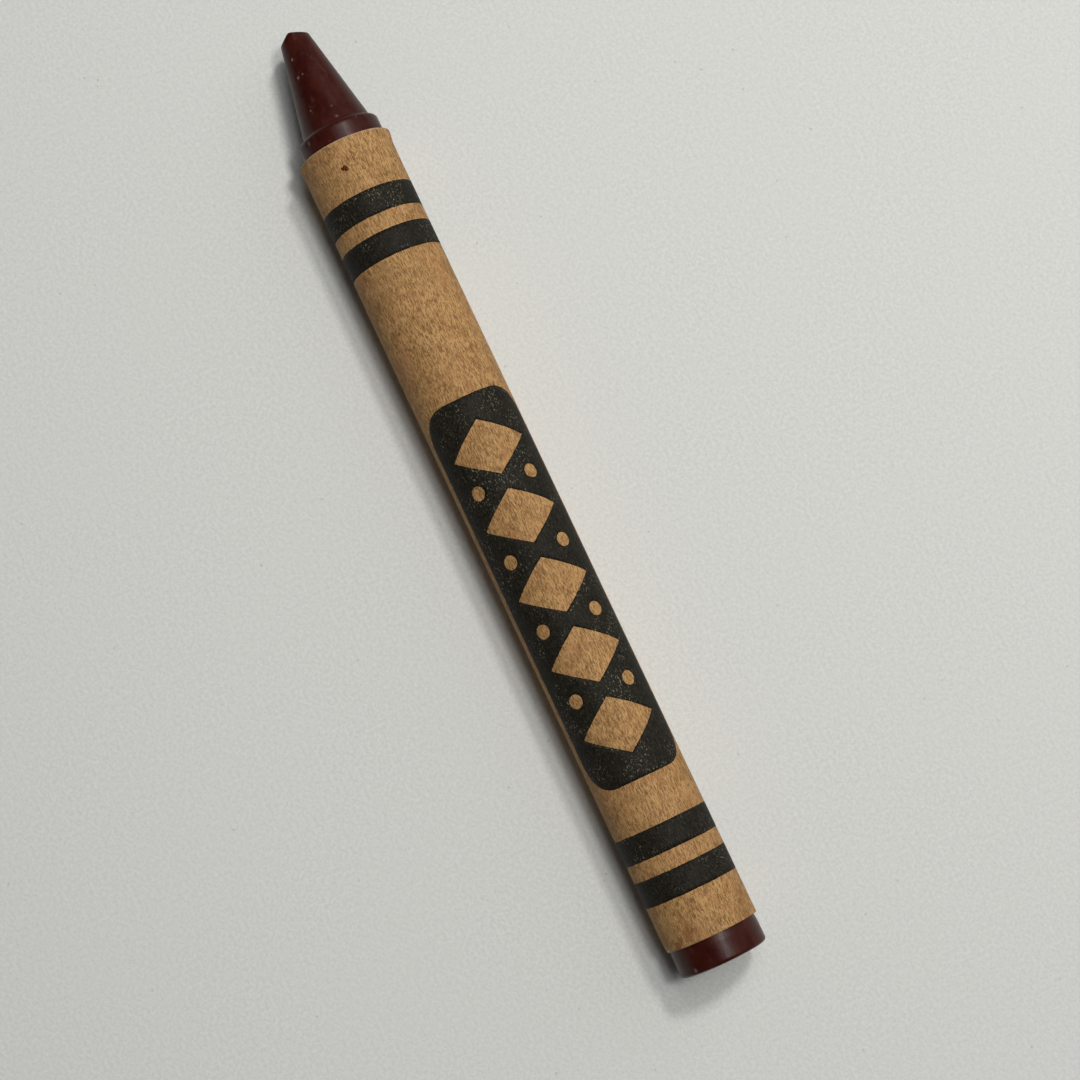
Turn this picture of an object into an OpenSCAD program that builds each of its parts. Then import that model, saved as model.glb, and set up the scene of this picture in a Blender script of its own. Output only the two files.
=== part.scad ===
// A wax crayon in a wound kraft-paper label, lying on a table.
//
// The crayon lies along X with its writing tip towards +X. The origin is on the table, under
// the middle of the crayon, and +Z is up. Distances along the crayon are measured from the butt
// face. Angles are turned about the crayon's axis, from straight up towards -Y.
// Lengths are in millimetres and angles in degrees.

/* [Wax stick] */
// Length of the crayon, from the butt face to the worn tip
crayon_l = 90.5; // [89:0.5:93]
// Diameter of the stick at the butt
butt_d = 7.96; // [7.9:0.01:8.04]
// Diameter of the stick at the collar, less than at the butt because the mould tapers
collar_d = 7.66; // [7.5:0.01:7.88]
// Length of the writing cone, from the collar's front face to the worn tip
cone_l = 10.05; // [8:0.05:10.5]
// Diameter of the cone where it leaves the collar
cone_base_d = 6.52; // [5.8:0.02:6.6]
// Diameter of the cone at the worn tip
cone_tip_d = 2.5; // [2:0.1:3.5]
// Rounding of the rim round the butt face
rim_r = 0.3; // [0.1:0.05:0.5]
// Rounding of the collar's front edge
collar_r = 0.45; // [0.2:0.05:0.5]

/* [Worn tip] */
// Slope of the flat worn on the +Y side, from square to the axis
wear_slope_left = 37; // [20:1:45]
// Slope of the flat worn on the -Y side, from square to the axis
wear_slope_right = 20; // [10:1:45]
// Angle that both flats look upwards
wear_lean = 10; // [0:1:20]
// Distance of the ridge between the flats from the axis, towards +Y
ridge_offset = 0.36; // [-0.6:0.02:0.6]

/* [Paper label] */
// Length of the label along the crayon
label_l = 76; // [74:0.5:77]
// Length of bare wax between the butt face and the label
butt_reveal = 2.55; // [2:0.05:3]
// Outer diameter of the wound label
label_d = 8.54; // [8.52:0.01:8.6]
// Thickness of the kraft paper
paper_t = 0.09; // [0.08:0.01:0.1]
// Thickness of the dried paste between the sheet's two turns
lap_paste_t = 0.03; // [0.02:0.01:0.03]
// Where the sheet's lengthwise edges lie, round the crayon
seam_angle = 225; // [200:5:250]
// Angle over which the sheet climbs from its first turn onto its second
climb_angle = 12; // [8:1:20]
// Length at the label's butt end that has no paste under it
butt_dry_l = 0.6; // [0.4:0.1:2]
// Length at the label's tip end that has no paste under it, where the label stands loose
tip_dry_l = 2; // [1:0.1:4]

/* [Printing] */
// Depth that the ink soaks into the paper
ink_t = 0.04; // [0.03:0.01:0.06]
// Width of each of the two bands
band_w = 6.25; // [5:0.25:7]
// Width of the bare ring in the middle of each band
band_gap = 1.55; // [0.5:0.05:2.5]
// Bare paper between the label's butt edge and the butt band
butt_band_start = 4.15; // [3:0.05:6]
// Bare paper between the tip band and the label's tip edge
tip_band_end = 5.1; // [3:0.05:8]
// Bare paper between the label's butt edge and the panel
panel_start = 14.55; // [13:0.05:18]
// Length of the panel
panel_l = 36.2; // [32:0.1:40]
// Width of the panel, as an angle round the crayon
panel_angle = 147; // [130:1:160]
// Turn of the panel's middle from straight up
panel_turn = 3.7; // [-10:0.1:10]
// Radius of the panel's corners
panel_corner_r = 3; // [1:0.1:3.5]
// Number of bare diamonds in the panel
diamonds = 5; // [3:1:5]
// Distance from each diamond's middle to the next one's
diamond_pitch = 6.6; // [6.5:0.1:6.9]
// Length of a diamond
diamond_l = 5.2; // [3:0.1:5.4]
// Width of a diamond, as an angle round the crayon
diamond_angle = 98; // [60:1:104]
// Diameter of the bare dots between the diamonds
dot_d = 1.3; // [0.8:0.1:1.5]
// Angle between the two dots of a pair
dot_angle = 72; // [60:1:80]

/* [Hidden] */

label_r = label_d / 2;
axis_h = label_r;                                      // the label rests on the table
first_turn_r = label_r - 2 * paper_t - lap_paste_t;    // inside of the sheet's first turn
second_turn_r = label_r - paper_t;                     // inside of its second turn
barrel_l = crayon_l - cone_l;                          // from the butt face to the collar's front face
lap_angle = 360 - climb_angle;                         // how far round the two turns lie on each other
climb_steps = 6;
arc_steps = 4;
reach = 3 * label_r;                                   // far enough to pass out through the label
$fn = 96;

wax = "#4d1a14";
kraft = "#b98c5c";
ink = "#2c2925";
paste = "#cdbb90";

// Radius of the tapering barrel at a distance from the butt face
function stick_r(x) = (butt_d + (collar_d - butt_d) * x / barrel_l) / 2;

// A point in the plane square to the axis, at a radius and an angle
function polar(r, a) = r * [cos(a), sin(a)];

// Points of a quarter round about a middle, from one angle to another
function round_edge(middle, r, from, to) =
    [for (i = [0:arc_steps]) middle + polar(r, from + (to - from) * i / arc_steps)];

// Lays a shape that is drawn about Z, from 0 up, onto the crayon's axis
module on_axis(x = 0) {
    translate([x - crayon_l / 2, 0, axis_h])
        rotate([0, 90, 0])
            rotate(180)
                children();
}

// A tube's wall, or the part of it that starts at one angle and sweeps on through another
module wall(r_in, r_out, length, from = 0, sweep = 360) {
    rotate(from)
        rotate_extrude(angle = sweep)
            translate([r_in, 0])
                square([r_out - r_in, length]);
}

// A prism that spans an angle to both sides of straight up
module wedge(half_angle, length) {
    linear_extrude(length)
        polygon([[0, 0], for (i = [-2:2]) polar(reach, i * half_angle / 2)]);
}

// Points a flat shape outwards from the axis, at a distance along it and an angle round it
module outwards(x, angle) {
    translate([0, 0, x])
        rotate(angle)
            rotate([0, 90, 0])
                linear_extrude(reach)
                    children();
}

// The half space in front of a flat worn on the tip
module wear_cut(slope) {
    translate([crayon_l / 2, ridge_offset, axis_h])
        rotate([0, -wear_lean, slope])
            translate([0, -cone_l, -cone_l])
                cube([cone_l, 2 * cone_l, 2 * cone_l]);
}

// One casting: butt, tapering barrel, collar and writing cone
module wax_stick() {
    // the rounded edges meet the barrel square to the axis, which its slight taper allows
    rim = round_edge([stick_r(0) - rim_r, rim_r], rim_r, -90, 0);
    collar = round_edge([stick_r(barrel_l) - collar_r, barrel_l - collar_r], collar_r, 0, 90);
    color(wax)
        difference() {
            on_axis()
                rotate_extrude()
                    polygon(concat(
                        [[0, 0]], rim, collar,
                        [[cone_base_d / 2, barrel_l], [cone_tip_d / 2, crayon_l], [0, crayon_l]]
                    ));
            wear_cut(wear_slope_left);
            wear_cut(-wear_slope_right);
        }
}

// The dried paste that fills the taper between the stick and the label's first turn
module stick_paste() {
    start = butt_reveal + butt_dry_l;
    end = butt_reveal + label_l - tip_dry_l;
    color(paste)
        on_axis()
            rotate_extrude()
                polygon([
                    [stick_r(start), start], [first_turn_r, start],
                    [first_turn_r, end], [stick_r(end), end]
                ]);
}

// The stretch where the sheet climbs over its own first edge. It is a little thinner than the
// sheet and its ends are tucked into the two turns, so that no faces meet edge to edge.
module climb() {
    tuck_t = 0.01;
    tuck_angle = 1;
    rise = paper_t + lap_paste_t;
    angles = [for (i = [0:climb_steps]) seam_angle - climb_angle * (1 - i / climb_steps)];
    line = concat(
        [polar(first_turn_r, angles[0] - tuck_angle)],
        [for (i = [0:climb_steps]) polar(first_turn_r + rise * i / climb_steps, angles[i])],
        [polar(second_turn_r, seam_angle + tuck_angle)]
    );
    linear_extrude(label_l)
        polygon(concat(
            [for (p = line) p * (1 + tuck_t / norm(p))],
            [for (i = [len(line) - 1:-1:0]) line[i] * (1 + (paper_t - tuck_t) / norm(line[i]))]
        ));
}

// One sheet, wound twice round the stick, with hollows where the ink has soaked in
module label_sheet() {
    pocket_r = label_r + 1;
    color(kraft)
        difference() {
            on_axis(butt_reveal) {
                wall(first_turn_r, first_turn_r + paper_t, label_l, seam_angle, lap_angle);
                climb();
                wall(second_turn_r, label_r, label_l, seam_angle, lap_angle);
            }
            butt_band_zone(pocket_r);
            panel_zone(pocket_r);
            tip_band_zone(pocket_r);
        }
}

// The dried paste between the sheet's two turns
module lap_paste() {
    color(paste)
        on_axis(butt_reveal)
            wall(first_turn_r + paper_t, second_turn_r, label_l, seam_angle, lap_angle);
}

// Two printed rings with a bare ring between them, from the ink's depth out to a radius
module band_zone(start, r_out) {
    ring_w = (band_w - band_gap) / 2;
    for (ring_start = [start, start + ring_w + band_gap])
        on_axis(butt_reveal + ring_start)
            wall(label_r - ink_t, r_out, ring_w, seam_angle, lap_angle);
}

module butt_band_zone(r_out) {
    band_zone(butt_band_start, r_out);
}

module tip_band_zone(r_out) {
    band_zone(label_l - tip_band_end - band_w, r_out);
}

// What lies outside a rounded corner: the two far sides of a square, less a quarter round
module corner_scrap(r) {
    overrun = 4;                                  // the round runs on, to leave clean edges
    polygon(concat(
        [[-2 * r, -r / 4]],
        round_edge([0, 0], 1.01 * r, 180 + overrun, 90 - overrun),
        [[r / 4, 2 * r], [-2 * r, 2 * r]]
    ));
}

// The outline of the panel, as a solid that passes out through the label
module panel_outline() {
    half = panel_angle / 2;
    corner_half = asin(panel_corner_r / label_r);
    difference() {
        wedge(half, panel_l);
        for (end = [0, 1], side = [0, 1])
            outwards([panel_corner_r, panel_l - panel_corner_r][end], [1, -1][side] * (half - corner_half))
                mirror([1 - end, 0])
                    mirror([0, side])
                        corner_scrap(panel_corner_r);
    }
}

// The bare row of diamonds, with a pair of dots between each two
module panel_pattern() {
    half_w = label_r * sin(diamond_angle / 2);
    first = (panel_l - (diamonds - 1) * diamond_pitch) / 2;
    for (i = [0:diamonds - 1])
        outwards(first + i * diamond_pitch, 0)
            polygon([[diamond_l / 2, 0], [0, half_w], [-diamond_l / 2, 0], [0, -half_w]]);
    for (i = [0:diamonds - 2], side = [-1, 1])
        outwards(first + (i + 0.5) * diamond_pitch, side * dot_angle / 2)
            circle(d = dot_d);
}

module panel_zone(r_out) {
    on_axis(butt_reveal + panel_start)
        rotate(panel_turn)
            difference() {
                intersection() {
                    wall(label_r - ink_t, r_out, panel_l);
                    panel_outline();
                }
                panel_pattern();
            }
}

module butt_band_ink() {
    color(ink) butt_band_zone(label_r);
}

module panel_ink() {
    color(ink) panel_zone(label_r);
}

module tip_band_ink() {
    color(ink) tip_band_zone(label_r);
}

wax_stick();
stick_paste();
label_sheet();
lap_paste();
butt_band_ink();
panel_ink();
tip_band_ink();
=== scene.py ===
"""A used wax crayon in its wound kraft label, lying on pale paper under soft room light.

The crayon lies along X with its writing tip towards +X. Sizes and places are in millimetres, apart
from those of the floor and the lamps, which are in metres. Angles round the crayon are in degrees,
turned from straight up towards -Y, as in the CAD model.
"""
import math
import random

import bpy
from mathutils import Matrix, Vector, noise
from mathutils.geometry import delaunay_2d_cdt


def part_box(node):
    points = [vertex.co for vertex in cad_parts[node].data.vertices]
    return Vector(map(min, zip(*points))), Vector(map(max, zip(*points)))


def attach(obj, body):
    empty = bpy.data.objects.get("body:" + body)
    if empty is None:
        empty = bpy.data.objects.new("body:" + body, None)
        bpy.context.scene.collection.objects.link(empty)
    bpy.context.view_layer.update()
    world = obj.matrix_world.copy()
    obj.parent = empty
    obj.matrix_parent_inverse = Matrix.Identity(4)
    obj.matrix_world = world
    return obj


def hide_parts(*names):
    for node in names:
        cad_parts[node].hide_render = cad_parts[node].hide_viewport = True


MM = 0.001

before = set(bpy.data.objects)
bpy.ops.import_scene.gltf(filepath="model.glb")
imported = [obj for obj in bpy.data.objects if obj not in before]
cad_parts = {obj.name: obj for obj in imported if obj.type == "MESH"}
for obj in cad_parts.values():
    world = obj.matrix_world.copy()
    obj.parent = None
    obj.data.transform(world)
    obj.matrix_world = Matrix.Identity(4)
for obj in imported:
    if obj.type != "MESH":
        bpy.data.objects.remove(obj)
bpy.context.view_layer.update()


def box_mm(node):
    """The lowest and highest corners of a CAD node, in millimetres."""
    return [Vector(corner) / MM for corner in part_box(node)]


# ---------------------------------------------------------------- sizes, from the frame

STICK_LO, STICK_HI = box_mm("wax_stick")
LABEL_LO, LABEL_HI = box_mm("label_sheet")

AXIS_Z = (LABEL_LO.z + LABEL_HI.z) / 2
LABEL_R = (LABEL_HI.z - LABEL_LO.z) / 2
BUTT_X = STICK_LO.x
TIP_X = STICK_HI.x
BUTT_R = (STICK_HI.z - STICK_LO.z) / 2

# the casting, as in the CAD model
COLLAR_R = 3.83
CONE_L = 10.05
CONE_BASE_R = 3.26
CONE_TIP_R = 1.25
RIM_ROUND = 0.3
COLLAR_ROUND = 0.45
COLLAR_X = TIP_X - CONE_L
BARREL_L = COLLAR_X - BUTT_X

# the flats worn on the tip, as in the CAD model
WEAR_SLOPE_LEFT = 37
WEAR_SLOPE_RIGHT = -20
WEAR_LEAN = 10
RIDGE_Y = 0.36

# what the real casting has beyond the CAD model: soft edges, a fuller butt and a nose out of line
FACE_DISH = 0.05                      # depth of the butt face's middle
FOOT_FILLET = 0.22                    # where the cone meets the collar
TIP_EASE = 0.14                       # where the cone meets the worn flats
WEAR_EASE = 0.2                       # where the worn flats meet each other
BUTT_SWELL = 0.055
SWELL_GAP = 0.1                       # from the label's end to where the swell begins
SWELL_RUN = 0.5
COLLAR_LEAN_Y = -0.15
CONE_LEAN_Y = -0.23
LEAN_START = 31.0
LEAN_END = 34.2
CONE_LEAN_RUN = 1.2

# the sheet, as in the CAD model
PAPER_T = 0.09
LAP_T = 0.03
SEAM = 225
CLIMB = 12
TURN = 360 - CLIMB
INK_PROUD = 0.008                     # how far the printing stands above the bare paper
SKIN_R = LABEL_R - INK_PROUD          # outside of the bare paper
FIRST_R = LABEL_R - 2 * PAPER_T - LAP_T

# the printing, as in the CAD model
BAND_GAP = 1.55
PANEL_TURN = 3.7
PANEL_SPAN = 147
PANEL_CORNER = 3.0
DIAMOND_COUNT = 5
DIAMOND_PITCH = 6.6
DIAMOND_L = 5.2
DIAMOND_SPAN = 98
DOT_R = 0.65
DOT_TURN = 36


def around(x, r, angle):
    """The point at a place along the crayon, a radius and an angle round it, in metres."""
    a = math.radians(angle)
    return Vector((x, -r * math.sin(a), AXIS_Z + r * math.cos(a))) * MM


def spaced(start, end, step):
    """Evenly spaced values from start to end, both included, about a step apart."""
    count = max(1, round(abs(end - start) / step))
    return [start + (end - start) * i / count for i in range(count + 1)]


def share(value, start, end):
    """How far a value has come from start to end, from 0 to 1."""
    return min(max((value - start) / (end - start), 0), 1)


def eased(value, start, end):
    """The same share, but leaving 0 and reaching 1 smoothly."""
    t = share(value, start, end)
    return t * t * (3 - 2 * t)


def bell(gap, width):
    """1 at no gap, falling smoothly to almost nothing at two widths."""
    return math.exp(-(gap / width) ** 2)


def smooth_min(a, b, width):
    """The smaller of two values, rounded over a width where they are close."""
    h = max(width - abs(a - b), 0) / width
    return min(a, b) - h * h * width / 4


def angle_gap(a, b):
    """How far apart two angles are, in degrees."""
    return abs((a - b + 180) % 360 - 180)


def swell(x, r, angle, wave, seed):
    """Smooth noise over the crayon's surface, from about -1 to 1, with a wavelength in mm."""
    a = math.radians(angle)
    return noise.noise(Vector((x, r * math.sin(a), r * math.cos(a))) / wave + Vector((seed, 0, 0)))


# ---------------------------------------------------------------- materials

# the colours, in linear light
KRAFT_BODY = (0.42, 0.228, 0.080)
KRAFT_DARK = (0.195, 0.089, 0.023)
KRAFT_LIGHT = (0.62, 0.357, 0.139)
CUT_BODY = (0.60, 0.44, 0.27)
CUT_DARK = (0.42, 0.29, 0.16)
CUT_LIGHT = (0.72, 0.56, 0.38)
KRAFT_CLOUD = (0.36, 0.195, 0.08)
KRAFT_BLUSH = (0.45, 0.205, 0.082)
DARK_SHIVE = (0.15, 0.07, 0.028)
PALE_FIBRE = (0.62, 0.42, 0.24)
DARK_SPOT = (0.15, 0.07, 0.03)
LONG_HAIR = (0.2, 0.1, 0.045)
KNIFE_RIM = (0.58, 0.43, 0.32)
WAX_STAIN = (0.24, 0.075, 0.022)
INK_DARK = (0.0024, 0.0019, 0.0010)
INK_LIGHT = (0.024, 0.0195, 0.0105)
INK_FLECK = (0.21, 0.19, 0.13)
WAX_DARK = (0.038, 0.0048, 0.0030)
WAX_LIGHT = (0.054, 0.0090, 0.0048)
CRUMB_DARK = (0.085, 0.010, 0.0015)
CRUMB_LIGHT = (0.135, 0.018, 0.003)
WAX_BLOOM = (0.16, 0.10, 0.08)
WAX_SPECK = (0.24, 0.15, 0.13)
# painted highlight: the pale colour of the glints painted on the bare wax
PAINTED_GLINT_COLOR = (0.33, 0.25, 0.22)
PASTE_DARK = (0.42, 0.32, 0.17)
PASTE_LIGHT = (0.60, 0.50, 0.31)
FLOOR_DARK = (0.70, 0.705, 0.675)
FLOOR_LIGHT = (0.82, 0.825, 0.795)
FLOOR_CLOUD = (0.77, 0.775, 0.74)
FLOOR_SPECK = (0.32, 0.33, 0.33)

PAPER_TOOTH = 0.011                   # depth of the paper's grain, on bare paper and under ink


class Tree:
    """Short calls that build one material's node tree."""

    def __init__(self, name):
        self.material = bpy.data.materials.new(name)
        self.material.use_nodes = True
        self.nodes = self.material.node_tree.nodes
        self.links = self.material.node_tree.links
        self.shader = self.nodes["Principled BSDF"]
        coords = self.nodes.new("ShaderNodeTexCoord")
        self.mm = self.vector("MULTIPLY", coords.outputs["Object"], (1 / MM,) * 3)

    def put(self, socket, value):
        if hasattr(value, "is_output"):
            self.links.new(value, socket)
        else:
            socket.default_value = value

    def vector(self, operation, *values):
        node = self.nodes.new("ShaderNodeVectorMath")
        node.operation = operation
        for socket, value in zip(node.inputs, values):
            self.put(socket, value)
        return node.outputs["Value" if operation == "DISTANCE" else "Vector"]

    def math(self, operation, *values):
        node = self.nodes.new("ShaderNodeMath")
        node.operation = operation
        for socket, value in zip(node.inputs, values):
            self.put(socket, value)
        return node.outputs[0]

    def product(self, a, b):
        return self.math("MULTIPLY", a, b)

    def weighted(self, *parts):
        """The sum of some fields, each times its weight."""
        total = self.product(*parts[0])
        for part in parts[1:]:
            total = self.math("ADD", total, self.product(*part))
        return total

    def noise(self, vector, wave, detail=3, rough=0.55):
        """Noise with a wavelength in millimetres, from about 0.2 to 0.8."""
        node = self.nodes.new("ShaderNodeTexNoise")
        self.put(node.inputs["Vector"], vector)
        node.inputs["Scale"].default_value = 1 / wave
        node.inputs["Detail"].default_value = detail
        node.inputs["Roughness"].default_value = rough
        return node.outputs["Fac"]

    def ripple(self, wave, detail, size):
        """Noise about zero, in millimetres, that makes an edge or a line ragged."""
        return self.product(self.math("SUBTRACT", self.noise(self.mm, wave, detail), 0.5), size)

    def cells(self, vector, wave):
        """The distance to the nearest of some scattered points, in wavelengths."""
        node = self.nodes.new("ShaderNodeTexVoronoi")
        self.put(node.inputs["Vector"], vector)
        node.inputs["Scale"].default_value = 1 / wave
        return node.outputs["Distance"]

    def step(self, value, low, high, to_low=0.0, to_high=1.0):
        """A smooth step from one value to another as the input goes from low to high."""
        node = self.nodes.new("ShaderNodeMapRange")
        node.interpolation_type = "SMOOTHSTEP"
        for name, setting in (("Value", value), ("From Min", low), ("From Max", high),
                              ("To Min", to_low), ("To Max", to_high)):
            self.put(node.inputs[name], setting)
        return node.outputs["Result"]

    def mix(self, amount, a, b):
        """A colour between two colours."""
        node = self.nodes.new("ShaderNodeMix")
        node.data_type = "RGBA"
        self.put(node.inputs["Factor"], amount)
        for name, value in (("A", a), ("B", b)):
            socket = [s for s in node.inputs if s.name == name and s.type == "RGBA"][0]
            self.put(socket, (*value, 1) if isinstance(value, tuple) else value)
        return [s for s in node.outputs if s.type == "RGBA"][0]

    def turned(self, vector, degrees, stretch):
        """Coordinates for grain that runs along X, turned a little and stretched."""
        node = self.nodes.new("ShaderNodeMapping")
        self.put(node.inputs["Vector"], vector)
        node.inputs["Rotation"].default_value = (0, 0, math.radians(degrees))
        node.inputs["Scale"].default_value = (1 / stretch, 1, 1)
        return node.outputs["Vector"]

    def near(self, place, size, wobble):
        """1 close to a place in metres, and 0 further away than a ragged distance in mm."""
        gap = self.math("ADD", self.vector("DISTANCE", self.mm, tuple(place / MM)), wobble)
        return self.step(gap, size * 0.35, size, 1, 0)

    def bump(self, height, depth):
        """The normal of a relief with a depth in millimetres."""
        node = self.nodes.new("ShaderNodeBump")
        self.put(node.inputs["Height"], height)
        node.inputs["Distance"].default_value = depth * MM
        return node.outputs["Normal"]

    def finish(self, color, roughness, normal, **settings):
        for name, value in (("Base Color", color), ("Roughness", roughness), ("Normal", normal)):
            self.put(self.shader.inputs[name], value)
        for name, value in settings.items():
            self.shader.inputs[name.replace("_", " ")].default_value = value
        return self.material


def fibre_fields(tree):
    """The wood fibres of unbleached paper: swaying coordinates, soft grain and fine tooth."""
    sway = tree.nodes.new("ShaderNodeCombineXYZ")
    tree.put(sway.inputs["Y"], tree.ripple(2.2, 2, 0.35))
    swayed = tree.vector("ADD", tree.mm, sway.outputs[0])
    grain = tree.noise(tree.turned(swayed, 4, 5), 0.11, 2, 0.6)
    tooth = tree.noise(tree.mm, 0.10, 2, 0.6)
    return swayed, grain, tooth


def with_blotches(tree, color):
    """Soft clouds and blushes in the pulp."""
    cloud = tree.noise(tree.mm, 6, 2)
    color = tree.mix(tree.step(cloud, 0.35, 0.7, 0, 0.22), color, KRAFT_CLOUD)
    elsewhere = tree.vector("ADD", tree.mm, (5, 17, 40))
    blush = tree.noise(tree.turned(elsewhere, 10, 1.5), 2.1, 3, 0.6)
    return tree.mix(tree.step(blush, 0.5, 0.72, 0, 0.4), color, KRAFT_BLUSH)


def with_fibres(tree, color, swayed):
    """Short dark shives, pale fibres and dark spots that lie in the surface."""
    shive = tree.noise(tree.turned(swayed, 12, 3.6), 0.125, 1, 0.4)
    color = tree.mix(tree.step(shive, 0.61, 0.70, 0, 0.7), color, DARK_SHIVE)
    elsewhere = tree.vector("ADD", tree.turned(swayed, -8, 4), (31, 7, 3))
    pale = tree.noise(elsewhere, 0.125, 1, 0.4)
    color = tree.mix(tree.step(pale, 0.63, 0.73, 0, 0.4), color, PALE_FIBRE)
    spots = tree.step(tree.cells(tree.turned(swayed, -10, 1.8), 0.62), 0.09, 0.19, 1, 0)
    some = tree.step(tree.noise(tree.mm, 1.7, 1), 0.46, 0.54)
    return tree.mix(tree.product(tree.product(spots, some), 0.6), color, DARK_SPOT)


def with_hairs(tree, color):
    """Long hairs: thin lines where a slow noise crosses its middle, broken up by another one."""
    swirl = tree.noise(tree.turned(tree.mm, 25, 1.6), 2.6, 1, 0.4)
    off_middle = tree.math("ABSOLUTE", tree.math("SUBTRACT", swirl, 0.5))
    line = tree.step(off_middle, 0.004, 0.011, 1, 0)
    broken = tree.step(tree.noise(tree.mm, 1.9, 1), 0.54, 0.6)
    return tree.mix(tree.product(tree.product(line, broken), 0.45), color, LONG_HAIR)


def with_knife_rim(tree, color, tooth):
    """The paler, roughened edge that the knife leaves at the label's tip end."""
    place = tree.nodes.new("ShaderNodeSeparateXYZ")
    tree.put(place.inputs[0], tree.mm)
    ragged_x = tree.math("ADD", place.outputs["X"], tree.product(tooth, 0.16))
    rim = tree.step(ragged_x, LABEL_HI.x - 0.06, LABEL_HI.x + 0.06, 0, 0.6)
    return tree.mix(rim, color, KNIFE_RIM)


def with_smears(tree, color):
    """Stains where wax has rubbed onto the paper."""
    wobble = tree.ripple(0.35, 3, 1.3)
    for x, angle, size, amount in WAX_SMEARS:
        smear = tree.near(around(x, SKIN_R, angle), size, wobble)
        color = tree.mix(tree.product(smear, amount), color, WAX_STAIN)
    return color


def paper_material(name, body, dark, light, smears):
    """Kraft paper: mottled, with light and dark fibres, spots, hairs and rubbed wax."""
    tree = Tree(name)
    swayed, grain, tooth = fibre_fields(tree)
    cross = tree.noise(tree.turned(swayed, -20, 3.5), 0.10, 2, 0.6)
    mottle = tree.noise(tree.mm, 1.1, 3, 0.6)
    tone = tree.weighted((grain, 0.34), (cross, 0.24), (tooth, 0.24), (mottle, 0.18))
    color = tree.mix(tree.step(tone, 0.41, 0.59), dark, light)
    color = tree.mix(0.1, color, body)
    color = with_blotches(tree, color)
    color = with_fibres(tree, color, swayed)
    color = with_hairs(tree, color)
    color = with_knife_rim(tree, color, tooth)
    if smears:
        color = with_smears(tree, color)
    rough = tree.step(tooth, 0.3, 0.7, 0.68, 0.86)
    relief = tree.bump(tree.weighted((grain, 0.6), (tooth, 0.4)), PAPER_TOOTH)
    return tree.finish(color, rough, relief, Specular_IOR_Level=0.32)


def ink_material():
    """Matte black printing, with the paper's fibres showing through where the ink is thin."""
    tree = Tree("printing_ink")
    swayed, grain, tooth = fibre_fields(tree)
    tone = tree.weighted((grain, 0.5), (tooth, 0.5))
    color = tree.mix(tree.step(tone, 0.40, 0.62), INK_DARK, INK_LIGHT)
    thin = tree.step(tree.noise(tree.mm, 2.4, 3), 0.46, 0.62)
    fleck = tree.step(tree.noise(tree.turned(swayed, -20, 1.7), 0.12, 2, 0.5), 0.57, 0.70)
    color = tree.mix(tree.product(fleck, tree.step(thin, 0, 1, 0.16, 0.85)), color, INK_FLECK)
    rough = tree.step(tooth, 0.3, 0.7, 0.6, 0.8)
    relief = tree.bump(tree.weighted((grain, 0.6), (tooth, 0.4)), PAPER_TOOTH)
    return tree.finish(color, rough, relief, Specular_IOR_Level=0.21)


def with_specks(tree, color):
    """Scattered pale specks in the wax."""
    pits = tree.step(tree.cells(tree.mm, 0.9), 0.05, 0.1, 1, 0)
    some = tree.step(tree.noise(tree.mm, 1.3, 1), 0.53, 0.6)
    return tree.mix(tree.product(tree.product(pits, some), 0.45), color, WAX_SPECK)


def with_painted_glints(tree, color):
    """Painted glints: pale spots on the bare wax that stand for highlights off its dents and collar."""
    wobble = tree.ripple(0.12, 2, 0.25)
    for x, angle, size, amount in PAINTED_GLINTS:
        place = around(x, bare_wax_r(x), angle)
        place.y += leaned(x) * MM
        glint = tree.near(place, size, wobble)
        color = tree.mix(tree.product(glint, amount), color, PAINTED_GLINT_COLOR)
    return color


def wax_material(name, dark, light):
    """Red-brown wax: waxy sheen, handling scratches and a thin dull bloom."""
    tree = Tree(name)
    cloud = tree.noise(tree.mm, 1.8, 3, 0.6)
    color = tree.mix(tree.step(cloud, 0.35, 0.68), dark, light)
    bloom = tree.noise(tree.turned(tree.mm, 10, 2.5), 0.5, 4, 0.65)
    color = tree.mix(tree.step(bloom, 0.55, 0.8, 0, 0.22), color, WAX_BLOOM)
    color = with_specks(tree, color)
    # painted highlights: pale glints painted on the wax's dents and collar
    color = with_painted_glints(tree, color)
    scratch = tree.noise(tree.turned(tree.mm, 20, 9), 0.09, 2, 0.6)
    cut = tree.noise(tree.turned(tree.mm, -38, 12), 0.12, 2, 0.6)
    fine = tree.noise(tree.mm, 0.25, 4, 0.6)
    rough = tree.step(cloud, 0.3, 0.7, 0.27, 0.36)
    rough = tree.math("ADD", rough, tree.step(bloom, 0.5, 0.8, 0, 0.2))
    rough = tree.math("ADD", rough, tree.step(scratch, 0.45, 0.7, 0, 0.12))
    relief = tree.bump(tree.weighted((scratch, 0.3), (cut, 0.25), (fine, 0.45)), 0.012)
    return tree.finish(color, rough, relief, IOR=1.33, Specular_IOR_Level=0.40,
                       Subsurface_Weight=0.12, Subsurface_Scale=0.3 * MM,
                       Subsurface_Radius=(1.0, 0.25, 0.15))


def paste_material():
    """Dried starch paste: a yellowish film with brush streaks."""
    tree = Tree("dried_paste")
    streak = tree.noise(tree.turned(tree.mm, 4, 6), 0.3, 3)
    color = tree.mix(tree.step(streak, 0.3, 0.7), PASTE_DARK, PASTE_LIGHT)
    return tree.finish(color, tree.step(streak, 0.3, 0.7, 0.4, 0.6), tree.bump(streak, 0.01))


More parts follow.
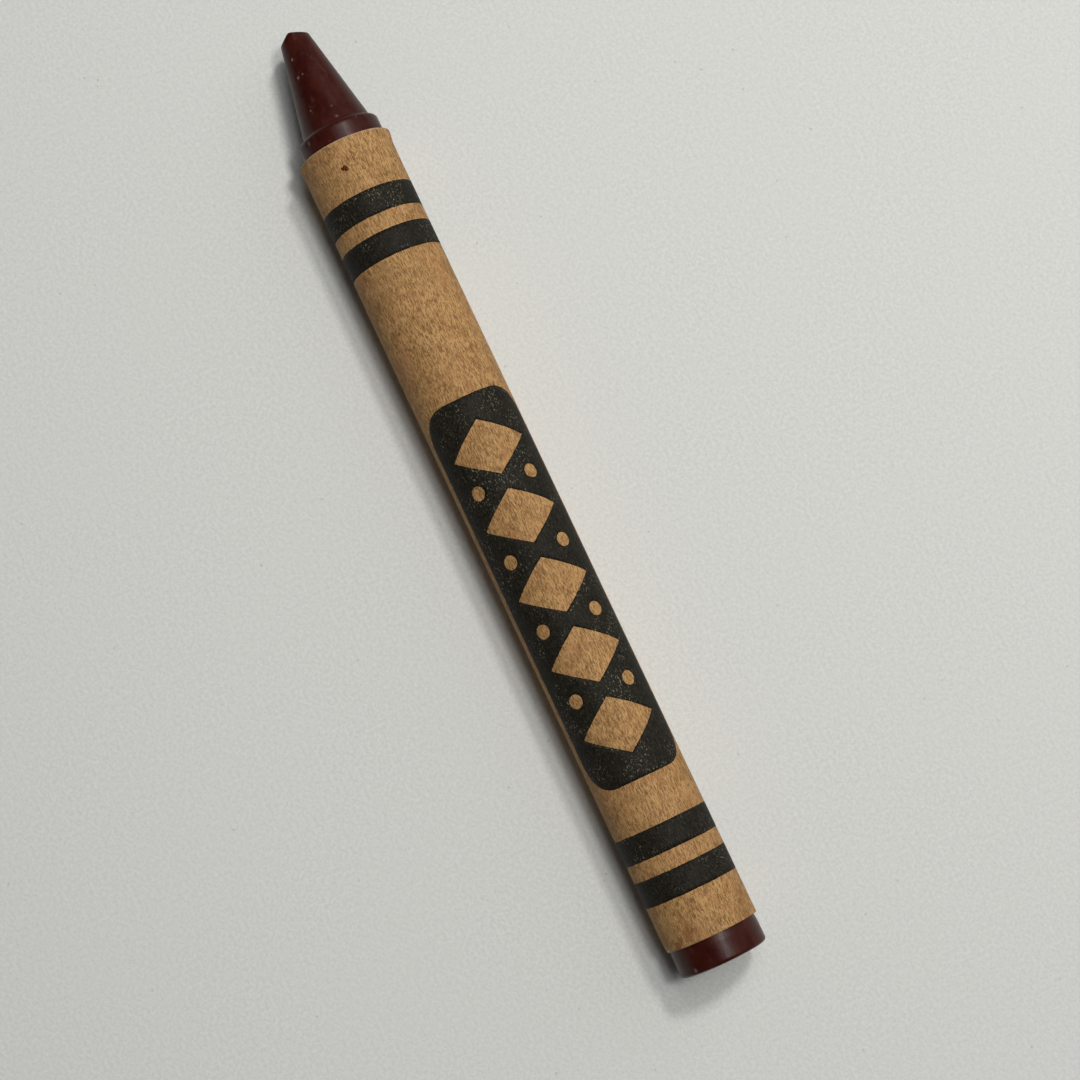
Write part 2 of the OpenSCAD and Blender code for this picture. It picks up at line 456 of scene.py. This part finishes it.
def floor_material():
    """Pale uncoated paper with a faint tooth and tiny specks."""
    tree = Tree("pale_paper_floor")
    cloud = tree.noise(tree.mm, 14, 3)
    tooth = tree.noise(tree.mm, 0.32, 4, 0.7)
    color = tree.mix(tree.step(tooth, 0.3, 0.7), FLOOR_DARK, FLOOR_LIGHT)
    color = tree.mix(tree.step(cloud, 0.3, 0.7, 0, 0.3), color, FLOOR_CLOUD)
    spots = tree.step(tree.cells(tree.mm, 2.4), 0.035, 0.06, 1, 0)
    speck = tree.product(spots, tree.step(cloud, 0.45, 0.55))
    color = tree.mix(tree.product(speck, 0.35), color, FLOOR_SPECK)
    return tree.finish(color, 0.9, tree.bump(tooth, 0.03), Specular_IOR_Level=0.2)


# ---------------------------------------------------------------- building pieces


def add_piece(name, points, faces, materials, cut_faces=()):
    """A smooth mesh piece from points in metres. The faces in cut_faces take the second material."""
    mesh = bpy.data.meshes.new(name)
    mesh.from_pydata(points, [], faces)
    mesh.update()
    for material in materials:
        mesh.materials.append(material)
    mesh.polygons.foreach_set("use_smooth", [True] * len(faces))
    for index in cut_faces:
        mesh.polygons[index].material_index = 1
        mesh.polygons[index].use_smooth = False
    piece = bpy.data.objects.new(name, mesh)
    bpy.context.scene.collection.objects.link(piece)
    return piece


def stands_for(piece, slot, *nodes):
    """The piece is part of the crayon and may replace CAD nodes, which are hidden. The slot is not
    used.
    """
    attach(piece, "root")
    if nodes:
        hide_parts(*nodes)


# ---------------------------------------------------------------- the wax stick

STICK_STEPS = 240                     # points round the stick
FACE_RINGS = (0.12, 0.3, 0.5, 0.7, 0.84, 0.93)
TIP_RINGS = (1, 0.9, 0.78, 0.64, 0.5, 0.36, 0.22, 0.1)
ROUND_STEPS = 8
CORNER_STEPS = 5
CONE_STEPS = 60
FINE_STEP = 0.13                      # between rings of bare wax
COARSE_STEP = 3                       # between rings under the label
CALM_R = 1.0                          # within this radius the relief fades out
WAX_WAVES = ((0.012, 2.6, 3), (0.006, 0.7, 9))      # height, wavelength and seed
DENT_REACH = 2.5
DENT_FALL = 2.2

# place along the crayon, angle round it, radius and depth of the dents in the wax
WAX_DENTS = [
    (BUTT_X + 0.42, -44, 0.17, 0.10), (BUTT_X + 1.6, 160, 0.35, 0.05),
    (42.5, -38, 0.13, 0.07), (40.65, -38, 0.17, 0.08), (40.75, -22, 0.10, 0.05),
    (37.25, -34, 0.10, 0.05), (34.5, -50, 0.2, 0.06),
    (TIP_X - 4.4, 95, 0.3, 0.07), (TIP_X - 6.8, 200, 0.4, 0.06), (TIP_X - 2.6, 140, 0.2, 0.06),
]

# place, angle, size and strength of the painted glints: pale spots that stand for highlights off the
# bare wax's dents and collar
PAINTED_GLINTS = [
    (42.5, -35, 0.17, 0.75), (40.65, -35, 0.2, 0.6), (40.75, -20, 0.13, 0.45), (37.25, -32, 0.12, 0.45),
    (35.65, 7, 0.2, 0.22), (36.75, 7, 0.16, 0.18), (34.55, -47, 0.24, 0.25),
    (BUTT_X + 0.42, -43, 0.24, 0.4),
]


def worn_tip_x(y, z):
    """How far forward the wax reaches in front of a point of the cross-section."""
    lean = math.radians(WEAR_LEAN)
    flats = []
    for slope in (WEAR_SLOPE_LEFT, WEAR_SLOPE_RIGHT):
        s = math.radians(slope)
        nx, ny, nz = math.cos(lean) * math.cos(s), math.cos(lean) * math.sin(s), math.sin(lean)
        flats.append(TIP_X - (ny * (y - RIDGE_Y) + nz * z) / nx)
    return smooth_min(smooth_min(flats[0], flats[1], WEAR_EASE), TIP_X, WEAR_EASE)


def worn_at(r, angle):
    """How far forward the wax reaches at a radius and an angle."""
    a = math.radians(angle)
    return worn_tip_x(-r * math.sin(a), r * math.cos(a))


def cone_r(x):
    return CONE_BASE_R + (CONE_TIP_R - CONE_BASE_R) * (x - COLLAR_X) / CONE_L


def bare_wax_r(x):
    """The wax's radius where the label leaves it bare."""
    if x > COLLAR_X:
        return cone_r(x)
    return COLLAR_R if x > LABEL_LO.x else BUTT_R + BUTT_SWELL


def cone_end(angle):
    """Where the cone's side meets the worn flats at an angle."""
    low, high = COLLAR_X, TIP_X + 2
    for _ in range(40):
        middle = (low + high) / 2
        if middle < worn_at(cone_r(middle), angle):
            low = middle
        else:
            high = middle
    return low


def rounded_corner(a, corner, b):
    """Points of a curve from a to b that rounds the corner, with a and b left out."""
    points = []
    for i in range(1, CORNER_STEPS):
        t = i / CORNER_STEPS
        points.append(tuple((1 - t) ** 2 * p + 2 * t * (1 - t) * c + t * t * q
                            for p, c, q in zip(a, corner, b)))
    return points


def quarter_round(x, r, size, start):
    """Points of a quarter round about a centre, from a start angle, in the plane of x and r."""
    angles = [math.radians(a) for a in spaced(start, start + 90, 90 / ROUND_STEPS)]
    return [(x + size * math.sin(a), r + size * math.cos(a)) for a in angles]


def barrel_rows():
    """Rings of the barrel, close together where the wax is bare or shows inside the label's ends."""
    shown = LABEL_LO.x + 0.6
    hidden = LABEL_HI.x - 2.2
    places = spaced(BUTT_X + RIM_ROUND + 0.1, shown, FINE_STEP)
    places += spaced(shown + 2, hidden - 2, COARSE_STEP)
    places += spaced(hidden, COLLAR_X - COLLAR_ROUND - 0.1, FINE_STEP)
    return [(x, BUTT_R + (COLLAR_R - BUTT_R) * (x - BUTT_X) / BARREL_L) for x in places]


def stick_outline(angle):
    """The stick's outline at an angle, as (x, r) from the butt face's middle to the tip's."""
    face_r = BUTT_R - RIM_ROUND
    rows = [(BUTT_X + FACE_DISH * (1 - f * f), face_r * f) for f in FACE_RINGS]
    rows += quarter_round(BUTT_X + RIM_ROUND, face_r, RIM_ROUND, -90)
    rows += barrel_rows()
    rows += quarter_round(COLLAR_X - COLLAR_ROUND, COLLAR_R - COLLAR_ROUND, COLLAR_ROUND, 0)
    foot = (COLLAR_X, CONE_BASE_R + FOOT_FILLET)
    toe_x = COLLAR_X + FOOT_FILLET
    toe = (toe_x, cone_r(toe_x))
    rows += rounded_corner(foot, (COLLAR_X, CONE_BASE_R), toe) + [toe]
    edge_x = cone_end(angle)
    edge_r = cone_r(edge_x)
    side_l = edge_x - TIP_EASE - toe_x
    side = [toe_x + side_l * i / CONE_STEPS for i in range(1, CONE_STEPS + 1)]
    rows += [(x, cone_r(x)) for x in side]
    inner = edge_r - TIP_EASE
    rows += rounded_corner(rows[-1], (edge_x, edge_r), (worn_at(inner, angle), inner))
    return rows + [(worn_at(inner * f, angle), inner * f) for f in TIP_RINGS]


def wax_relief(x, r, angle):
    """How far the wax stands in or out: casting waves, handling wear and dents."""
    lift = sum(height * swell(x, r, angle, wave, seed) for height, wave, seed in WAX_WAVES)
    for dent_x, dent_angle, size, depth in WAX_DENTS:
        along = x - dent_x
        if abs(along) > DENT_REACH * size:
            continue
        across = math.radians(angle_gap(angle, dent_angle)) * r
        spread = (along * along + across * across) / (size * size)
        lift -= depth * math.exp(-DENT_FALL * spread)
    return lift


def leaned(x):
    """How far the casting's nose stands off the crayon's axis, in Y."""
    cone_start = COLLAR_X - COLLAR_ROUND
    collar_lean = COLLAR_LEAN_Y * eased(x, LEAN_START, LEAN_END)
    more_lean = CONE_LEAN_Y - COLLAR_LEAN_Y
    return collar_lean + more_lean * eased(x, cone_start, cone_start + CONE_LEAN_RUN)


def wax_point(x, r, angle, on_flat):
    """A point of the real stick: the outline's point with its relief, swell and lean."""
    lift = wax_relief(x, r, angle) * min(1, r / CALM_R)
    swell_x = LABEL_LO.x - SWELL_GAP
    lift += BUTT_SWELL * share(x, swell_x, swell_x - SWELL_RUN) * (r / BUTT_R) ** 4
    point = around(x + lift / 2, r, angle) if on_flat else around(x, r + lift, angle)
    point.y += leaned(x) * MM
    return point


def build_wax_stick(material):
    angles = [360 * i / STICK_STEPS for i in range(STICK_STEPS)]
    outlines = [stick_outline(angle) for angle in angles]
    count = len(outlines[0])
    points = []
    for row in range(count):
        on_flat = row < len(FACE_RINGS) or row >= count - len(TIP_RINGS)
        points += [wax_point(*outline[row], angle, on_flat) for angle, outline in zip(angles, outlines)]
    butt, tip = len(points), len(points) + 1
    points += [around(BUTT_X + FACE_DISH, 0, 0), around(worn_tip_x(0, 0), 0, 0)]
    points[tip].y += CONE_LEAN_Y * MM
    faces = []
    for row in range(count - 1):
        for i in range(STICK_STEPS):
            j = (i + 1) % STICK_STEPS
            a, b = row * STICK_STEPS, (row + 1) * STICK_STEPS
            faces.append((a + i, a + j, b + j, b + i))
    last = (count - 1) * STICK_STEPS
    faces += [(butt, (i + 1) % STICK_STEPS, i) for i in range(STICK_STEPS)]
    faces += [(tip, last + i, last + (i + 1) % STICK_STEPS) for i in range(STICK_STEPS)]
    piece = add_piece("cast_wax_stick", points, faces, [material])
    stands_for(piece, "wax", "wax_stick")


# ---------------------------------------------------------------- the label

FIRST_TURN_STEP = 5                   # degrees between points round the sheet
CLIMB_STEP = 1.5
SECOND_TURN_STEP = 2
END_L = 1.4                           # length of the finely divided ends of the sheet
END_STEP = 0.14
MIDDLE_STEP = 1.0
SHEET_WAVE = 0.007                    # height of the outer turn's soft waves
TIP_CURL = 0.03                       # how far the tip end has sprung up, and over what length
TIP_CURL_L = 0.85
TIP_FLARES = ((0.15, 92, 46), (0.05, -92, 40))      # height, angle and spread
BUTT_CURL = 0.03
BUTT_CURL_L = 0.5
CORNER_TUCK = 0.10                    # a pressed-in corner at the butt end, and its place and size
CORNER_ANGLE = -78
CORNER_SPREAD = 14
CORNER_L = 0.45
CUT_WAVES = ((0.035, 40, 5), (0.012, 4, 6))         # the knife's wander: size, wave in degrees, seed
CUT_DEPTH = 0.6                       # how far from the ends the sheet's points follow the knife
CUT_NICK = 0.07
CUT_NICK_ANGLE = -80
CUT_NICK_SPREAD = 9
FRAY_LIFT = 0.03                      # how far the last edge has come loose, and over what angle
FRAY_SPAN = 8

# place, angle, size and strength of the red-brown wax rubbed onto the paper
WAX_SMEARS = [
    (-41.5, -28.6, 0.75, 0.62), (-42.3, -47, 0.42, 0.8), (-40.4, 56, 0.7, 0.35), (-41.3, 51, 0.7, 0.4),
    (-42.3, 46.5, 0.6, 0.4), (21.3, -49, 0.5, 0.45), (20.6, -46, 0.5, 0.25), (13.2, 35, 0.7, 0.22),
    (18.1, 44, 0.6, 0.18), (30.7, -10.7, 0.45, 0.35),
]


def signed_angle(angle):
    """The same direction as an angle between -180 and 180 degrees."""
    return (angle + 180) % 360 - 180


def skin_lift(x, angle):
    """How far the sheet stands off its wind: soft waves, and ends that have sprung loose."""
    upward = 0.5 + 0.5 * math.cos(math.radians(angle))
    off_floor = min(1, 2 * upward)
    near_tip = bell(LABEL_HI.x - x, TIP_CURL_L)
    from_butt = x - LABEL_LO.x
    lift = SHEET_WAVE * swell(x, LABEL_R, angle, 9, 17)
    lift += TIP_CURL * upward * near_tip * (1 + 0.6 * swell(0, LABEL_R, angle, 3, 40))
    for height, flare_angle, spread in TIP_FLARES:
        lift += height * off_floor * near_tip * bell(angle_gap(angle, flare_angle), spread)
    corner = bell(angle_gap(angle, CORNER_ANGLE), CORNER_SPREAD)
    lift -= CORNER_TUCK * corner * bell(from_butt, CORNER_L)
    lift += BUTT_CURL * upward * bell(from_butt, BUTT_CURL_L) * swell(0, LABEL_R, angle, 2.5, 60)
    return lift


def sheet_rows():
    """Places along the sheet, close together at its cut ends."""
    rows = spaced(LABEL_LO.x, LABEL_LO.x + END_L, END_STEP)
    rows += spaced(LABEL_LO.x + END_L, LABEL_HI.x - END_L, MIDDLE_STEP)[1:-1]
    return rows + spaced(LABEL_HI.x - END_L, LABEL_HI.x, END_STEP)


def cut_edge(x, turned):
    """Where a point at x comes to lie, because the knife's cuts at the ends are not quite straight."""
    wander = sum(size * swell(turned / wave, 0, 0, 1, seed) for size, wave, seed in CUT_WAVES)
    for end, side in ((LABEL_LO.x, 1), (LABEL_HI.x, -1)):
        depth = abs(x - end)
        if depth < CUT_DEPTH:
            on_skin = turned > SEAM + TURN
            nick = CUT_NICK * bell(angle_gap(turned, CUT_NICK_ANGLE), CUT_NICK_SPREAD) if on_skin else 0
            return x + side * (abs(wander) + nick) * (1 - depth / CUT_DEPTH)
    return x


def sheet_point(x, turned, outer):
    """A point of the sheet, on its inner or outer side, at a place and an angle along its wind."""
    climbed = share(turned, SEAM + TURN, SEAM + 360)
    thickness = PAPER_T - (INK_PROUD if turned >= SEAM + 360 else 0)
    angle = signed_angle(turned)
    lift = skin_lift(x, angle)
    to_edge = SEAM + 360 + TURN - turned
    if to_edge < FRAY_SPAN:
        fray = 0.5 + swell(x, 0, 0, 5, 22)
        lift += FRAY_LIFT * max(fray, 0) * (1 - to_edge / FRAY_SPAN) ** 2
    r = FIRST_R + (PAPER_T + LAP_T) * climbed + lift + outer * thickness
    return around(cut_edge(x, turned), r, angle)


def build_label(paper, cut):
    """One sheet, wound twice: the first turn, the climb over its own edge and the second turn."""
    turns = spaced(SEAM, SEAM + TURN, FIRST_TURN_STEP)
    turns += spaced(SEAM + TURN, SEAM + 360, CLIMB_STEP)[1:]
    turns += spaced(SEAM + 360, SEAM + 360 + TURN, SECOND_TURN_STEP)[1:]
    rows = sheet_rows()
    points = [sheet_point(x, turned, outer) for outer in (0, 1) for turned in turns for x in rows]
    across, along = len(turns), len(rows)

    def at(outer, i, j):
        return (outer * across + i) * along + j

    faces, cuts = [], []
    for i in range(across - 1):
        for j in range(along - 1):
            faces.append((at(1, i, j), at(1, i, j + 1), at(1, i + 1, j + 1), at(1, i + 1, j)))
            faces.append((at(0, i, j), at(0, i + 1, j), at(0, i + 1, j + 1), at(0, i, j + 1)))
        for j, flip in ((0, False), (along - 1, True)):
            rim = (at(0, i, j), at(1, i, j), at(1, i + 1, j), at(0, i + 1, j))
            cuts.append(len(faces))
            faces.append(rim[::-1] if flip else rim)
    for i, flip in ((0, True), (across - 1, False)):
        for j in range(along - 1):
            rim = (at(0, i, j), at(1, i, j), at(1, i, j + 1), at(0, i, j + 1))
            cuts.append(len(faces))
            faces.append(rim[::-1] if flip else rim)
    piece = add_piece("wound_label", points, faces, [paper, cut], cuts)
    stands_for(piece, "kraft_paper", "label_sheet")


# ---------------------------------------------------------------- the printing
# An outline here is drawn on the unrolled sheet, with x along the crayon and s round it.

OUTLINE_STEP = 0.12                   # between an outline's points
GRID_X = 0.4                          # between the points inside an outline
GRID_S = 0.2
CELL = 0.1                            # how close to an outline the grid comes
CREEP = 0.028                         # how far ink creeps along single fibres, of this length and width
FIBRE_L = 0.3
FIBRE_W = 0.22
BLEED = 0.02                          # how far it spreads in slow waves, of this length and width
BLEED_L = 1.5
BLEED_W = 1.1


def arc_length(angle):
    return math.radians(angle) * LABEL_R


def round_points(x, s, r, angles):
    """Points on a circle about a centre, at angles in degrees."""
    return [(x + r * math.cos(math.radians(a)), s + r * math.sin(math.radians(a))) for a in angles]


def ragged(outline, seed):
    """The outline with close-set points, each moved a little as ink creeps along the fibres."""
    close = []
    for (x0, s0), (x1, s1) in zip(outline, outline[1:] + outline[:1]):
        count = max(1, round(math.hypot(x1 - x0, s1 - s0) / OUTLINE_STEP))
        close += [(x0 + (x1 - x0) * i / count, s0 + (s1 - s0) * i / count) for i in range(count)]
    moved = []
    for x, s in close:
        fibre = Vector((x / FIBRE_L + seed, s / FIBRE_W, seed))
        wave = Vector((x / BLEED_L, s / BLEED_W + seed, seed))
        moved.append((x + CREEP * noise.noise(fibre) + BLEED * noise.noise(wave),
                      s + CREEP * noise.noise(fibre + Vector((9, 9, 9)))))
    return moved


def inside(point, outlines):
    """Whether a point lies inside an odd number of outlines."""
    x, s = point
    odd = False
    for outline in outlines:
        for (x0, s0), (x1, s1) in zip(outline, outline[1:] + outline[:1]):
            if (s0 > s) != (s1 > s) and x < x0 + (x1 - x0) * (s - s0) / (s1 - s0):
                odd = not odd
    return odd


def grid_inside(outlines, border):
    """A grid of points inside the outlines that keeps clear of the outlines' own points."""
    near_border = {(round(x / CELL), round(s / CELL)) for x, s in border}
    low_x, high_x = min(x for x, _ in border), max(x for x, _ in border)
    low_s, high_s = min(s for _, s in border), max(s for _, s in border)
    points = []
    for x in spaced(low_x, high_x, GRID_X):
        for s in spaced(low_s, high_s, GRID_S):
            column, row = round(x / CELL), round(s / CELL)
            beside = {(column + i, row + j) for i in (-1, 0, 1) for j in (-1, 0, 1)}
            if not beside & near_border and inside((x, s), outlines):
                points.append(Vector((x, s)))
    return points


def flat_film(outlines):
    """The points and triangles that fill the outlines, with every triangle facing outwards."""
    flat, edges = [], []
    for outline in outlines:
        base = len(flat)
        flat += [Vector(point) for point in outline]
        edges += [(base + i, base + (i + 1) % len(outline)) for i in range(len(outline))]
    flat += grid_inside(outlines, [(v.x, v.y) for v in flat])
    points, _, triangles, *_ = delaunay_2d_cdt(flat, edges, [], 0, 1e-6)
    kept = []
    for triangle in triangles:
        a, b, c = (points[i] for i in triangle)
        middle = (a + b + c) / 3
        if inside((middle.x, middle.y), outlines):
            flip = (b - a).cross(c - a) < 0
            kept.append(tuple(triangle[::-1]) if flip else tuple(triangle))
    return points, kept


def print_flat(name, outlines, material, node):
    """A film of ink with these outlines on the unrolled sheet, wrapped onto the label."""
    flat, triangles = flat_film(outlines)
    used = sorted({i for triangle in triangles for i in triangle})
    place = {old: new for new, old in enumerate(used)}
    count = len(used)
    points = []
    for base in (SKIN_R - INK_PROUD, LABEL_R):
        for i in used:
            x, s = flat[i]
            angle = math.degrees(s / LABEL_R)
            points.append(around(x, base + skin_lift(x, signed_angle(angle)), angle))
    faces = []
    open_edges = {}
    for triangle in triangles:
        a, b, c = (place[i] for i in triangle)
        faces += [(a + count, c + count, b + count), (a, b, c)]
        for p, q in ((a, b), (b, c), (c, a)):
            if (q, p) in open_edges:
                del open_edges[q, p]
            else:
                open_edges[p, q] = True
    faces += [(q, p, p + count, q + count) for p, q in open_edges]
    piece = add_piece(name, points, faces, [material])
    stands_for(piece, "ink", node)


def band_outlines(node, seed):
    """Two rings with a bare ring between them, filling a CAD band's length."""
    low, high = box_mm(node)
    ring = (high.x - low.x - BAND_GAP) / 2
    start, end = arc_length(SEAM), arc_length(SEAM + TURN)
    rings = []
    for x in (low.x, high.x - ring):
        rings.append(ragged([(x, start), (x + ring, start), (x + ring, end), (x, end)], seed + x))
    return rings


def panel_edge(low_x, high_x, middle_s):
    """The outline of the round-cornered panel."""
    half_s = arc_length(PANEL_SPAN / 2) - PANEL_CORNER
    left, right = low_x + PANEL_CORNER, high_x - PANEL_CORNER
    corners = ((right, half_s, 0), (left, half_s, 90), (left, -half_s, 180), (right, -half_s, 270))
    outline = []
    for x, s, start in corners:
        outline += round_points(x, middle_s + s, PANEL_CORNER, spaced(start, start + 90, 9))
    return outline


def panel_outlines():
    """A round-cornered panel with a bare row of diamonds and pairs of dots in it."""
    low, high = box_mm("panel_ink")
    middle_x, middle_s = (low.x + high.x) / 2, arc_length(PANEL_TURN)
    outlines = [ragged(panel_edge(low.x, high.x, middle_s), 2)]
    half_l, half_w = DIAMOND_L / 2, arc_length(DIAMOND_SPAN) / 2
    for i in range(DIAMOND_COUNT):
        x = middle_x + (i - (DIAMOND_COUNT - 1) / 2) * DIAMOND_PITCH
        diamond = [(x + half_l, middle_s), (x, middle_s + half_w),
                   (x - half_l, middle_s), (x, middle_s - half_w)]
        outlines.append(ragged(diamond, 11 + i))
        if i == DIAMOND_COUNT - 1:
            break
        for side in (-1, 1):
            dot_s = middle_s + side * arc_length(DOT_TURN)
            dot = round_points(x + DIAMOND_PITCH / 2, dot_s, DOT_R, range(0, 360, 15))
            outlines.append(ragged(dot, 30 + 2 * i + side))
    return outlines


# ---------------------------------------------------------------- crumbs of wax on the paper

# place, angle and size
WAX_CRUMBS = [(30.76, -12.0, 0.24), (30.64, -8.6, 0.21), (30.9, -10.0, 0.15)]
CRUMB_SIDES = 14
CRUMB_RINGS = ((1.0, -0.02), (0.8, 0.035), (0.45, 0.055))      # share of the size, and height
CRUMB_TOP = 0.06
CRUMB_FOOT = -0.02


def build_crumbs(material):
    """Flat crumbs of rubbed-off wax that stick to the paper."""
    chance = random.Random(7)
    points, faces = [], []
    for x, angle, size in WAX_CRUMBS:
        base = len(points)
        skin = SKIN_R + skin_lift(x, angle)
        stretch = chance.uniform(0.8, 1.25)
        reach = [chance.uniform(0.75, 1.15) for _ in range(CRUMB_SIDES)]
        for share_out, height in CRUMB_RINGS:
            for i in range(CRUMB_SIDES):
                a = 2 * math.pi * i / CRUMB_SIDES
                out = size * share_out * reach[i]
                turn = math.degrees(out * math.sin(a) / LABEL_R)
                lift = height * (0.8 + 0.4 * chance.random())
                points.append(around(x + out * math.cos(a) * stretch, skin + lift, angle + turn))
        top, foot = len(points), len(points) + 1
        points += [around(x, skin + CRUMB_TOP, angle), around(x, skin + CRUMB_FOOT, angle)]
        last = top - CRUMB_SIDES
        for i in range(CRUMB_SIDES):
            j = (i + 1) % CRUMB_SIDES
            for a in range(base, last, CRUMB_SIDES):
                b = a + CRUMB_SIDES
                faces.append((a + i, b + i, b + j, a + j))
            faces += [(last + i, top, last + j), (base + j, foot, base + i)]
    piece = add_piece("wax_crumbs", points, faces, [material])
    stands_for(piece, "wax")


# ---------------------------------------------------------------- floor, light and camera

FLOOR_SIDE = 2.4
FLOOR_CELLS = 24

WARM_WHITE = (1.0, 0.985, 0.955)
COOL_WHITE = (0.98, 0.99, 1.0)
DAYLIGHT = (0.97, 0.99, 1.0)
ROOM_COLOR = (0.92, 0.97, 1.0, 1)
ROOM_STRENGTH = 0.036

# two small lamps and a long panel overhead, and a wide weak window to the right:
# name, direction from the crayon, distance, width, length, watts and colour
LAMPS = [
    ("lamp_right", (-0.05, -0.27, 1), 0.42, 0.055, 0.055, 0.42, WARM_WHITE),
    ("lamp_ahead", (0.31, -0.45, 1), 0.42, 0.055, 0.055, 0.50, WARM_WHITE),
    ("panel_overhead", (0.05, -0.145, 1), 0.42, 0.08, 0.36, 0.38, COOL_WHITE),
    ("daylight", (0.25, -0.85, 0.74), 0.55, 0.75, 0.55, 0.62, DAYLIGHT),
]

CAMERA_LENS = 78.77
CAMERA_SENSOR = 36
CAMERA_PLACE = (-25.73, 8.85, 210.37)
CAMERA_TARGET = (-5.68, -1.03, AXIS_Z)
CAMERA_UP = (0.9004, -0.4215, 0.1078)
CAMERA_CLIP = 10


def build_floor(material):
    points = [((i / FLOOR_CELLS - 0.5) * FLOOR_SIDE, (j / FLOOR_CELLS - 0.5) * FLOOR_SIDE, 0)
              for i in range(FLOOR_CELLS + 1) for j in range(FLOOR_CELLS + 1)]
    row = FLOOR_CELLS + 1
    faces = []
    for i in range(FLOOR_CELLS):
        for j in range(FLOOR_CELLS):
            a = i * row + j
            faces.append((a, a + row, a + row + 1, a + 1))
    add_piece("table_top", points, faces, [material])


def aim(obj, place, target, up):
    """Puts a lamp or camera at a place, in metres, looking at a target."""
    ahead = (target - place).normalized()
    right = ahead.cross(up).normalized()
    above = right.cross(ahead)
    turn = Matrix((right, above, -ahead)).transposed()
    obj.matrix_world = Matrix.Translation(place) @ turn.to_4x4()


def build_light():
    for name, direction, distance, width, length, watts, color in LAMPS:
        lamp = bpy.data.lights.new(name, "AREA")
        lamp.shape = "ELLIPSE"
        lamp.size, lamp.size_y = width, length
        lamp.energy = watts
        lamp.color = color
        obj = bpy.data.objects.new(name, lamp)
        bpy.context.scene.collection.objects.link(obj)
        obj.visible_camera = False
        place = Vector(direction).normalized() * distance
        aim(obj, place, Vector((0, 0, AXIS_Z * MM)), Vector((1, 0, 0)))
    world = bpy.data.worlds.new("room")
    bpy.context.scene.world = world
    world.use_nodes = True
    background = world.node_tree.nodes["Background"]
    background.inputs["Color"].default_value = ROOM_COLOR
    background.inputs["Strength"].default_value = ROOM_STRENGTH


def build_camera():
    camera = bpy.data.cameras.new("camera")
    camera.lens = CAMERA_LENS
    camera.sensor_width = CAMERA_SENSOR
    camera.clip_start = CAMERA_CLIP * MM
    obj = bpy.data.objects.new("camera", camera)
    bpy.context.scene.collection.objects.link(obj)
    aim(obj, Vector(CAMERA_PLACE) * MM, Vector(CAMERA_TARGET) * MM, Vector(CAMERA_UP))
    bpy.context.scene.camera = obj
    bpy.context.scene.view_settings.view_transform = "Standard"


# ---------------------------------------------------------------- everything

kraft = paper_material("kraft_paper", KRAFT_BODY, KRAFT_DARK, KRAFT_LIGHT, True)
kraft_cut = paper_material("kraft_cut_edge", CUT_BODY, CUT_DARK, CUT_LIGHT, False)
ink = ink_material()
wax = wax_material("maroon_wax", WAX_DARK, WAX_LIGHT)
rubbed_wax = wax_material("rubbed_wax", CRUMB_DARK, CRUMB_LIGHT)
paste = paste_material()

build_wax_stick(wax)
build_label(kraft, kraft_cut)
print_flat("butt_band_print", band_outlines("butt_band_ink", 50), ink, "butt_band_ink")
print_flat("panel_print", panel_outlines(), ink, "panel_ink")
print_flat("tip_band_print", band_outlines("tip_band_ink", 80), ink, "tip_band_ink")
build_crumbs(rubbed_wax)
for node in ("stick_paste", "lap_paste"):
    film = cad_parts[node]
    film.data.materials.clear()
    film.data.materials.append(paste)

build_floor(floor_material())
build_light()
build_camera()
